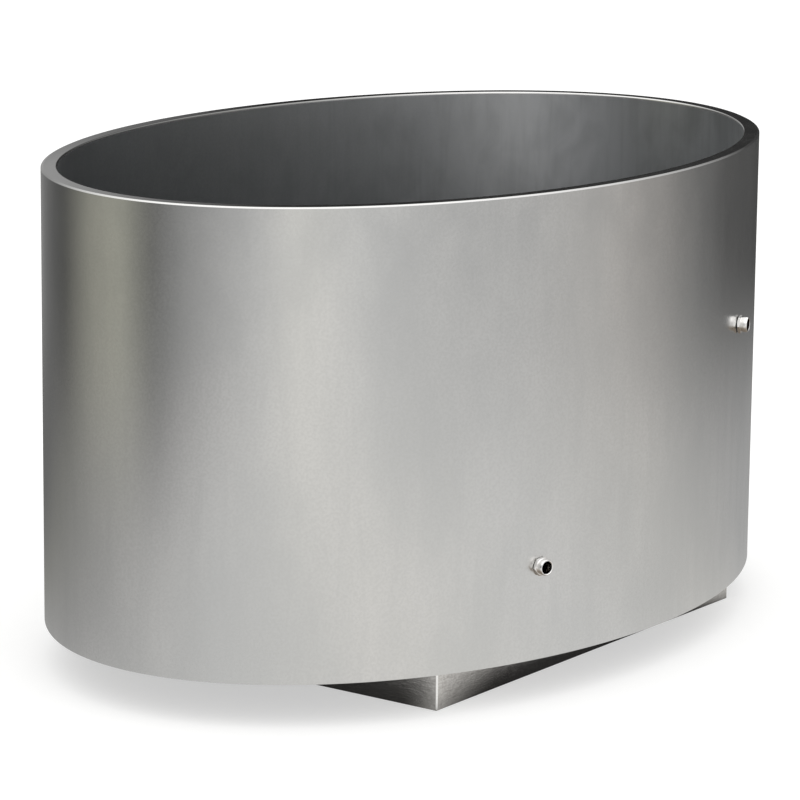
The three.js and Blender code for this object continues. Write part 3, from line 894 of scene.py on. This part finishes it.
def moved(bm, matrix):
    """The same mesh, placed by a matrix."""
    bmesh.ops.transform(bm, matrix=matrix, verts=bm.verts)
    return bm


def turn_z(degrees):
    return Matrix.Rotation(radians(degrees), 4, "Z")


def upright_to_y(z):
    """Turns what was made round +Z to lie along +Y at a height."""
    return Matrix.Translation((0, 0, z)) @ Matrix.Rotation(-pi / 2, 4, "X")


# ---- Vessel ----


def port_frame(name):
    """A frame on the shell's outer face, with +Z straight out, +Y up and +X along the shell."""
    face, out = mount(name)
    start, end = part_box(name + "_nipple")
    origin = Vector((face.x, face.y, (start.z + end.z) / 2)) - out * NIPPLE_REACH
    up = Vector((0, 0, 1))
    across = up.cross(out)
    return Matrix.Translation(origin) @ Matrix((across, up, out)).transposed().to_4x4()


def port_drills(radius):
    return [moved(bar(radius, *DRILL_SPAN), port_frame(name)) for name in PORTS]


def add_shell():
    wall = band(0, SHEET, SHELL_BOTTOM, RIM_BOTTOM, foot=FOOT_EDGE)
    cut(piece("outer_shell", wall, "shell"), *port_drills(DRILL))


def add_rim():
    """The rim's flat top has a finish of its own, and its upright sides that of the walls they join."""
    corners = [
        (0, RIM_BOTTOM),
        (0, RIM_TOP - BEVEL_DROP, 0.5 * MM),
        (BEVEL_WIDTH, RIM_TOP, 1 * MM),
        (RIM_WIDTH, RIM_TOP, RIM_ROUND),
        (RIM_WIDTH, RIM_BOTTOM),
    ]
    outline = fillet(corners)
    rim = piece("rim_ring", oval([inset(d, z) for d, z in outline]), "rim")
    rim.data.materials.append(looks["shell"])
    rim.data.materials.append(looks["liner"])
    for face in rim.data.polygons:
        if abs(face.normal.z) < UPRIGHT:
            outward = face.normal.x * face.center.x + face.normal.y * face.center.y
            face.material_index = 1 if outward > 0 else 2


def add_base_plate():
    top = high("base_plate").z
    edge = SHEET + 0.2 * MM
    upper = ramp(inset(edge, top), circle(BASE_HOLE, top), BASE_RINGS)
    lower = ramp(circle(BASE_HOLE, SHELL_BOTTOM), inset(edge, SHELL_BOTTOM), BASE_RINGS)
    piece("base_plate", oval(upper + lower), "plain")


def add_liner():
    wall = band(LINER_INSET, RIM_WIDTH, SEAM, RIM_BOTTOM)
    piece("inner_wall", wall, "liner")


def cove_arc(radius):
    """Section points round the cove, from the wall down to the floor."""
    height = FLOOR_EDGE + COVE_RADIUS
    angles = quarter(COVE_STEPS)
    return [inset(COVE_INSET - radius * cos(t), height - radius * sin(t)) for t in angles]


def add_cove():
    inner = [inset(RIM_WIDTH, SEAM), *cove_arc(COVE_RADIUS)]
    outer = [inset(LINER_INSET, SEAM), *cove_arc(COVE_RADIUS + SHEET)]
    piece("floor_cove", oval(list(reversed(outer)) + inner), "liner")


def add_inner_floor():
    """The floor falls from the cove to the outlet, which sits in a recess."""
    recess = FLOOR_BOTTOM + SHEET
    top = ramp(inset(COVE_INSET, FLOOR_EDGE), circle(RECESS_EDGE, SEAT), DISH_RINGS)
    top += [circle(RECESS_RADIUS, recess), circle(FLOOR_HOLE, recess)]
    under = [circle(FLOOR_HOLE, FLOOR_BOTTOM), circle(RECESS_RADIUS, FLOOR_BOTTOM)]
    under += ramp(circle(RECESS_EDGE, SEAT - SHEET), inset(COVE_INSET, FLOOR_EDGE - SHEET), DISH_RINGS)
    piece("inner_floor", oval(top + under), "liner")


def add_jacket():
    inner = JACKET_INSET + SHEET
    jacket = band(JACKET_INSET, inner, JACKET_BOTTOM, JACKET_TOP)
    cut(piece("jacket_wall", jacket, "plain"), *port_drills(DRILL))
    for node in ("jacket_lower_strip", "jacket_upper_strip"):
        strip = band(inner, LINER_INSET, *heights(node), rows=1)
        piece(node, strip, "plain")


def add_wall_insulation():
    """Blankets between the walls. The middle one is thinner, to leave room for the jacket."""
    skin = SHEET + CLEARANCE
    for node in ("insulation_lower", "insulation_upper"):
        blanket = band(skin, LINER_INSET - CLEARANCE, *heights(node), rows=6)
        piece(node, blanket, "wool")
    middle = band(skin, JACKET_INSET - CLEARANCE, *heights("insulation_middle"))
    cut(piece("insulation_middle", middle, "wool"), *port_drills(BOSS_RADIUS + CLEARANCE))


def add_floor_insulation():
    """The blanket under the floor follows its fall and stops short of the outlet."""
    node = "insulation_floor"
    base = low(node).z
    hole = RECESS_EDGE + 3 * MM
    drop = 3.5 * MM  # below the floor's upper face
    top = [inset(LINER_INSET, FLOOR_EDGE - 10 * MM)]
    top += ramp(inset(COVE_INSET, FLOOR_EDGE - drop), circle(hole, SEAT - drop), BASE_RINGS)
    under = ramp(circle(hole, base), inset(LINER_INSET, base), BASE_RINGS)
    piece(node, oval(top + under), "wool")


# ---- Cooling ports ----


def nipple():
    """A hex nipple: inner stem, chamfered shoulder, turned outer end with a broken nose, bored through."""
    inner = -JACKET_INSET
    nose = 1.6 * MM
    lip = 0.7 * MM
    reach = hexagon(HEX_FLATS, HEX_TURN)
    crown = 0.985 * HEX_FLATS / 2
    relief = PIPE_RADIUS - 0.7 * MM  # groove next to the shoulder

    def outline_at(angle):
        return [
            (PIPE_BORE, inner + lip),
            (PIPE_BORE + lip, inner),
            (PIPE_RADIUS - lip, inner),
            (PIPE_RADIUS, inner + lip),
            (PIPE_RADIUS, SHOULDER_BACK),
            *hex_rows(reach(angle), crown, SHOULDER_BACK, SHOULDER_FRONT),
            (relief + 0.3 * MM, SHOULDER_FRONT),
            (relief, SHOULDER_FRONT + 0.3 * MM),
            (relief, SHOULDER_FRONT + 1.3 * MM),
            (PIPE_RADIUS - 0.1 * MM, SHOULDER_FRONT + 2.0 * MM),
            (PIPE_RADIUS, SHOULDER_FRONT + 2.4 * MM),
            (PIPE_RADIUS, NIPPLE_REACH - nose - 0.3 * MM),
            (PIPE_RADIUS - 0.1 * MM, NIPPLE_REACH - nose),
            (PIPE_RADIUS - 0.9 * MM, NIPPLE_REACH - 0.1 * MM),
            (PIPE_RADIUS - 1.1 * MM, NIPPLE_REACH),
            (PIPE_BORE + lip, NIPPLE_REACH),
            (PIPE_BORE, NIPPLE_REACH - lip),
        ]

    return around(outline_at, HEX_STEPS)


def add_port(name):
    place = port_frame(name)
    piece(name + "_nipple", nipple(), "bright", place=place)
    washer = tube(WASHER_RADIUS, DRILL, 0, SHOULDER_BACK, 0.4 * MM)
    piece(name + "_washer", washer, "rubber", place=place)
    boss = tube(BOSS_RADIUS, DRILL, 0.5 * MM - JACKET_INSET, -SHEET - 1 * MM, 0.6 * MM)
    piece(name + "_boss", boss, "plain", place=place)


# ---- Drain ----


def add_outlet():
    """The outlet's body, clamped through the floor by its gasket and locknut."""
    bottom = low("drain_body").z
    flange = high("drain_body").x
    under = low("drain_gasket").z + GASKET_TO_FLANGE
    corners = [
        (DRAIN_BORE, bottom),
        (DRAIN_TUBE, bottom, 0.5 * MM),
        (DRAIN_TUBE, under, 0.4 * MM),
        (flange, under, 0.5 * MM),
        (flange, SEAT, 1.2 * MM),
        (DRAIN_MOUTH, SEAT, 1.5 * MM),
        (DRAIN_BORE, SEAT - 9 * MM, 2 * MM),
    ]
    piece("drain_body", lathe(fillet(corners)), "bright")
    gasket = tube(flange, DRAIN_SLEEVE, *heights("drain_gasket"), 0.6 * MM)
    piece("drain_gasket", gasket, "rubber")
    locknut = hex_nut(LOCKNUT_FLATS, *heights("drain_locknut"), DRAIN_SLEEVE)
    piece("drain_locknut", locknut, "plain")


def along_tail(y):
    """Turns what was made round +Z to lie along the tail pipe, starting at a distance to the rear."""
    return upright_to_y(TAIL_HEIGHT) @ Matrix.Translation((0, 0, y))


def add_elbow():
    """A bend to the rear, under a socket that takes the outlet's body."""
    start = TAIL_HEIGHT + TAIL_BEND + TAIL_STUB
    end = low("drain_pipe").y
    path = [(0, 0, start)]
    for t in quarter(TAIL_STEPS):
        height = TAIL_HEIGHT + TAIL_BEND - TAIL_BEND * sin(t)
        path.append((0, TAIL_BEND - TAIL_BEND * cos(t), height))
    path.append((0, end, TAIL_HEIGHT))
    piece("drain_elbow", sweep_tube(path, TAIL_RADIUS, TAIL_BORE), "plain")
    top = high("drain_elbow").z
    step = low("drain_body").z - CLEARANCE
    corners = [
        (TAIL_BORE, start - 1 * MM),
        (TAIL_RADIUS + 1 * MM, start - 1 * MM, 0.5 * MM),
        (SOCKET_RADIUS, start + 3 * MM, 2 * MM),
        (SOCKET_RADIUS, top, 0.6 * MM),
        (DRAIN_SLEEVE, top, 0.4 * MM),
        (DRAIN_SLEEVE, step),
        (TAIL_BORE, step),
    ]
    piece("drain_socket", lathe(fillet(corners)), "plain", nodes=["drain_elbow"])
    weld_ring("elbow_weld", along_tail(end))


def add_tail():
    """The straight pipe out through the rear panel, and the ferrule on its end."""
    start = low("drain_pipe").y
    back = low("drain_ferrule").y
    face = high("drain_ferrule").y
    lie = upright_to_y(TAIL_HEIGHT)
    pipe = tube(TAIL_RADIUS, TAIL_BORE, start, back, 0)
    piece("drain_pipe", pipe, "plain", place=lie)
    weld_ring("ferrule_weld", along_tail(back))
    rim = FERRULE_RADIUS
    corners = [
        (TAIL_BORE, back),
        (TAIL_RADIUS, back),
        (TAIL_RADIUS, face - 5.8 * MM, 1.5 * MM),
        (rim, face - 2.9 * MM, 0.6 * MM),
        (rim, face, 0.5 * MM),
        (rim - 2.6 * MM, face, 0.3 * MM),
        (rim - 3.4 * MM, face - 1.4 * MM, 0.5 * MM),
        (rim - 4.2 * MM, face, 0.3 * MM),
        (TAIL_BORE, face, 0.4 * MM),
    ]
    piece("drain_ferrule", lathe(fillet(corners, steps=4)), "bright", place=lie)


def weld_ring(name, place):
    """A rippled bead round a joint in the tail pipe."""

    def outline_at(angle):
        swell = WELD_BEAD * (1 + 0.10 * sin(WELD_RIPPLES * angle))
        return [(TAIL_RADIUS + 0.35 * swell * sin(t), 2.2 * swell * cos(t)) for t in turns(12)]

    bead = around(outline_at, 4 * WELD_RIPPLES)
    piece(name, bead, "weld", nodes=[], place=place)


# ---- Plug ----


def add_plug():
    """A stopper with a groove for its seal, a flange that rests on the outlet, and a stem."""
    bottom = low("drain_plug").z
    top = high("drain_plug").z
    head = high("drain_plug").x
    groove = (low("plug_seal").z + high("plug_seal").z) / 2
    lead, half = 2 * MM, 2 * MM
    root = STOPPER_RADIUS - 2 * MM
    seat = SEAT + CLEARANCE
    corners = [
        (0, bottom),
        (STOPPER_RADIUS - lead, bottom, 0.6 * MM),
        (STOPPER_RADIUS, bottom + lead, 0.6 * MM),
        (STOPPER_RADIUS, groove - half, 0.3 * MM),
        (root, groove - half, 0.3 * MM),
        (root, groove + half, 0.3 * MM),
        (STOPPER_RADIUS, groove + half, 0.3 * MM),
        (STOPPER_RADIUS, seat, 0.3 * MM),
        (head, seat, 0.5 * MM),
        (head, SEAT + 2.5 * MM, 1 * MM),
        (head - 2.5 * MM, SEAT + 5 * MM, 1.2 * MM),
        (STEM_RADIUS + 3 * MM, SEAT + 5 * MM, 2 * MM),
        (STEM_RADIUS, SEAT + 8 * MM, 2 * MM),
        (STEM_RADIUS, top, 0.5 * MM),
        (0, top),
    ]
    piece("drain_plug", lathe(fillet(corners)), "bright", body="plug")


def add_seal():
    start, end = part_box("plug_seal")
    groove = (start.z + end.z) / 2
    tall = (end.z - start.z) / 2
    wide = 0.9 * MM
    middle = end.x - wide
    ring = [(middle + wide * cos(t), groove + tall * sin(t)) for t in turns(16)]
    piece("plug_seal", lathe(ring), "rubber", body="plug")


def add_knob():
    """A fluted knob with a domed top, set on the plug's stem."""
    start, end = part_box("plug_knob")
    radius, top = end.x, end.z
    bore = STEM_RADIUS + CLEARANCE
    stem_top = high("drain_plug").z + CLEARANCE
    corners = [
        (bore, start.z, 0.3 * MM),
        (bore + 3 * MM, start.z, 1.5 * MM),
        (radius, top - 8 * MM, 3 * MM),
        (radius, top - 4 * MM, 2 * MM),
        (radius - 4 * MM, top - 1 * MM, 4 * MM),
        (0, top),
        (0, stem_top),
        (bore, stem_top),
    ]
    knob = fillet(corners)
    flutes, depth = 18, 0.35 * MM
    girth = 0.9 * radius  # the flutes fade out inside this radius

    def outline_at(angle):
        dip = depth * (0.5 + 0.5 * cos(flutes * angle))
        return [(r - dip * max(0, (r - girth) / (radius - girth)), z) for r, z in knob]

    piece("plug_knob", around(outline_at, 8 * flutes), "bright", body="plug")


# ---- Plinth ----


def panel_stations(half_span):
    """Places along half a panel, and how far its face curves back at each, up to the ground corner."""
    stations = [(half_span * i / PANEL_STEPS, 0) for i in range(PANEL_STEPS)]
    stations = [s for s in stations if s[0] < half_span - PANEL_FLANGE - MITRE_GAP]
    for i in range(CORNER_STEPS + 1):
        t = pi / 4 * i / CORNER_STEPS
        back = CORNER_RADIUS * (1 - cos(t))
        stations.append((half_span - CORNER_RADIUS * (1 - sin(t)), back))
    return stations


def panel(half_span, depth):
    """A flanged panel along X on the -Y side. Its ends are mitred and meet in a ground, rounded corner."""
    top = PLINTH_TOP
    inside = BEND_RADIUS - PANEL_SHEET
    corners = [
        (0, 0, BEND_RADIUS),
        (PANEL_FLANGE, 0, LIP_EDGE),
        (PANEL_FLANGE, PANEL_SHEET, LIP_EDGE),
        (PANEL_SHEET, PANEL_SHEET, inside),
        (PANEL_SHEET, top - PANEL_SHEET, inside),
        (PANEL_FLANGE, top - PANEL_SHEET, LIP_EDGE),
        (PANEL_FLANGE, top, LIP_EDGE),
        (0, top, BEND_RADIUS),
    ]
    outline = fillet(corners)
    stations = panel_stations(half_span)
    both = [(-x, dip) for x, dip in reversed(stations[1:])] + stations
    rings = []
    for x, dip in both:
        ring = []
        for u, z in outline:
            inward = max(u, dip)
            reach = min(abs(x), half_span - inward)
            ring.append((copysign(reach, x), inward - depth, z))
        rings.append(ring)
    return rings_to_mesh(rings, closed_run=False)


def add_panel(node, half_span, depth, turn):
    """One side of the plinth, with the bright finish on its ground corner."""
    made = piece(node, panel(half_span, depth), "mill", place=turn_z(turn))
    made.data.materials.append(looks["ground"])
    for face in made.data.polygons:
        oblique = min(abs(face.normal.x), abs(face.normal.y)) > UPRIGHT
        face.material_index = int(oblique and abs(face.normal.z) < UPRIGHT)
    return made


def add_plinth():
    add_panel("plinth_front", PLINTH_X, PLINTH_Y, 0)
    rear = add_panel("plinth_rear", PLINTH_X, PLINTH_Y, 180)
    drill = bar(TAIL_RADIUS + 0.6 * MM, *TAIL_DRILL_SPAN)
    cut(rear, moved(drill, upright_to_y(TAIL_HEIGHT)))
    add_panel("plinth_left", PLINTH_Y, PLINTH_X, -90)
    add_panel("plinth_right", PLINTH_Y, PLINTH_X, 90)


def add_cross_beam(node):
    """A channel, open below, from the front panel to the rear one."""
    start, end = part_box(node)
    sheet = PANEL_SHEET
    inside = BEND_RADIUS - sheet
    corners = [
        (start.x, start.z, LIP_EDGE),
        (start.x + sheet, start.z, LIP_EDGE),
        (start.x + sheet, end.z - sheet, inside),
        (end.x - sheet, end.z - sheet, inside),
        (end.x - sheet, start.z, LIP_EDGE),
        (end.x, start.z, LIP_EDGE),
        (end.x, end.z, BEND_RADIUS),
        (start.x, end.z, BEND_RADIUS),
    ]
    outline = fillet(corners)
    stops = [start.y + (end.y - start.y) * i / PANEL_STEPS for i in range(PANEL_STEPS + 1)]
    rings = [[(x, y, z) for x, z in outline] for y in stops]
    piece(node, rings_to_mesh(rings, closed_run=False), "plain")


# ---- Levelling feet ----


def add_sole(corner, place):
    """The rubber sole. It stands on two rings, with a groove between them."""
    node = "foot_sole_" + corner
    start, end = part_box(node)
    radius = (end.x - start.x) / 2
    tread = 1.2 * MM  # height of the rings
    corners = [
        (0, tread),
        (radius * 0.45, tread, 0.4 * MM),
        (radius * 0.48, 0, 0.4 * MM),
        (radius * 0.68, 0, 0.4 * MM),
        (radius * 0.71, tread, 0.3 * MM),
        (radius * 0.75, tread, 0.3 * MM),
        (radius * 0.78, 0, 0.4 * MM),
        (radius, 0, 0.8 * MM),
        (radius, end.z, 1.2 * MM),
        (0, end.z),
    ]
    piece(node, lathe(fillet(corners, steps=3)), "rubber", body="foot_" + corner, place=place)


def add_stud(corner, place):
    """The foot's disc and its threaded stud, in one piece."""
    node = "foot_stud_" + corner
    base = high("foot_sole_" + corner).z + CLEARANCE
    disc, hub = 29 * MM, 12 * MM
    stud_top = high(node).z
    corners = [
        (0, base),
        (disc, base, 0.6 * MM),
        (disc, base + 3.7 * MM, 1.2 * MM),
        (hub, STUD_DISC_TOP, 3 * MM),
        (STUD_RADIUS, STUD_DISC_TOP, 0.5 * MM),
    ]
    foot = fillet(corners, steps=4)
    foot = [tuple(point) for point in foot if point.y <= STUD_DISC_TOP + WELD_POINTS]
    depth, pitch = 0.9 * MM, 2 * MM
    start, end = STUD_DISC_TOP + 1 * MM, stud_top - 2 * MM
    tip = [(STUD_RADIUS - 1.5 * MM, stud_top), (0, stud_top)]

    def outline_at(angle):
        return foot + thread_rows(STUD_RADIUS, depth, pitch, start, end, angle) + tip

    stud = around(outline_at, THREAD_STEPS)
    piece(node, stud, "bright", body="foot_" + corner, place=place)


def add_foot_nut(corner, place):
    node = "foot_nut_" + corner
    nut = hex_nut(24 * MM, *heights(node), STUD_HOLE)
    piece(node, nut, "plain", place=place)


def add_bracket(corner, place):
    """A plate in the plinth's corner, drilled for the stud. Its outer tip is cut off at the mitre."""
    node = "foot_bracket_" + corner
    start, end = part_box(node)
    side_x = copysign(1, start.x)
    side_y = copysign(1, start.y)
    xs = sorted((start.x, end.x), key=abs)
    ys = sorted((start.y, end.y), key=abs)
    nip = 8 * MM
    outline = [
        (xs[0], ys[0], 6 * MM),
        (xs[1], ys[0], 0.5 * MM),
        (xs[1], ys[1] - side_y * nip, 1 * MM),
        (xs[1] - side_x * nip, ys[1], 1 * MM),
        (xs[0], ys[1], 0.5 * MM),
    ]
    if side_x * side_y < 0:
        outline.reverse()
    plan = [(p.x, p.y) for p in fillet(outline)]
    bracket = piece(node, extrude(plan, start.z, end.z), "plain")
    cut(bracket, moved(bar(STUD_HOLE, 0, PLINTH_TOP), place))


def add_foot(corner):
    start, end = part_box("foot_sole_" + corner)
    middle = (start + end) / 2
    place = Matrix.Translation((middle.x, middle.y, 0))
    add_sole(corner, place)
    add_stud(corner, place)
    add_foot_nut(corner, place)
    add_bracket(corner, place)


# ---- Build ----

bpy.context.scene.view_settings.view_transform = "Standard"
bpy.context.scene.cycles.glossy_bounces = 10
bpy.context.scene.cycles.max_bounces = 12
add_camera()
add_room()
add_floor()
add_ground_glow()
looks = {name: make() for name, (make, _) in FINISHES.items()}
add_shell()
add_rim()
add_base_plate()
add_liner()
add_cove()
add_inner_floor()
add_jacket()
add_wall_insulation()
add_floor_insulation()
for port in PORTS:
    add_port(port)
add_outlet()
add_elbow()
add_tail()
add_plug()
add_seal()
add_knob()
add_plinth()
for side in ("left", "right"):
    add_cross_beam("cross_beam_" + side)
for corner in ("front_left", "front_right", "rear_left", "rear_right"):
    add_foot(corner)
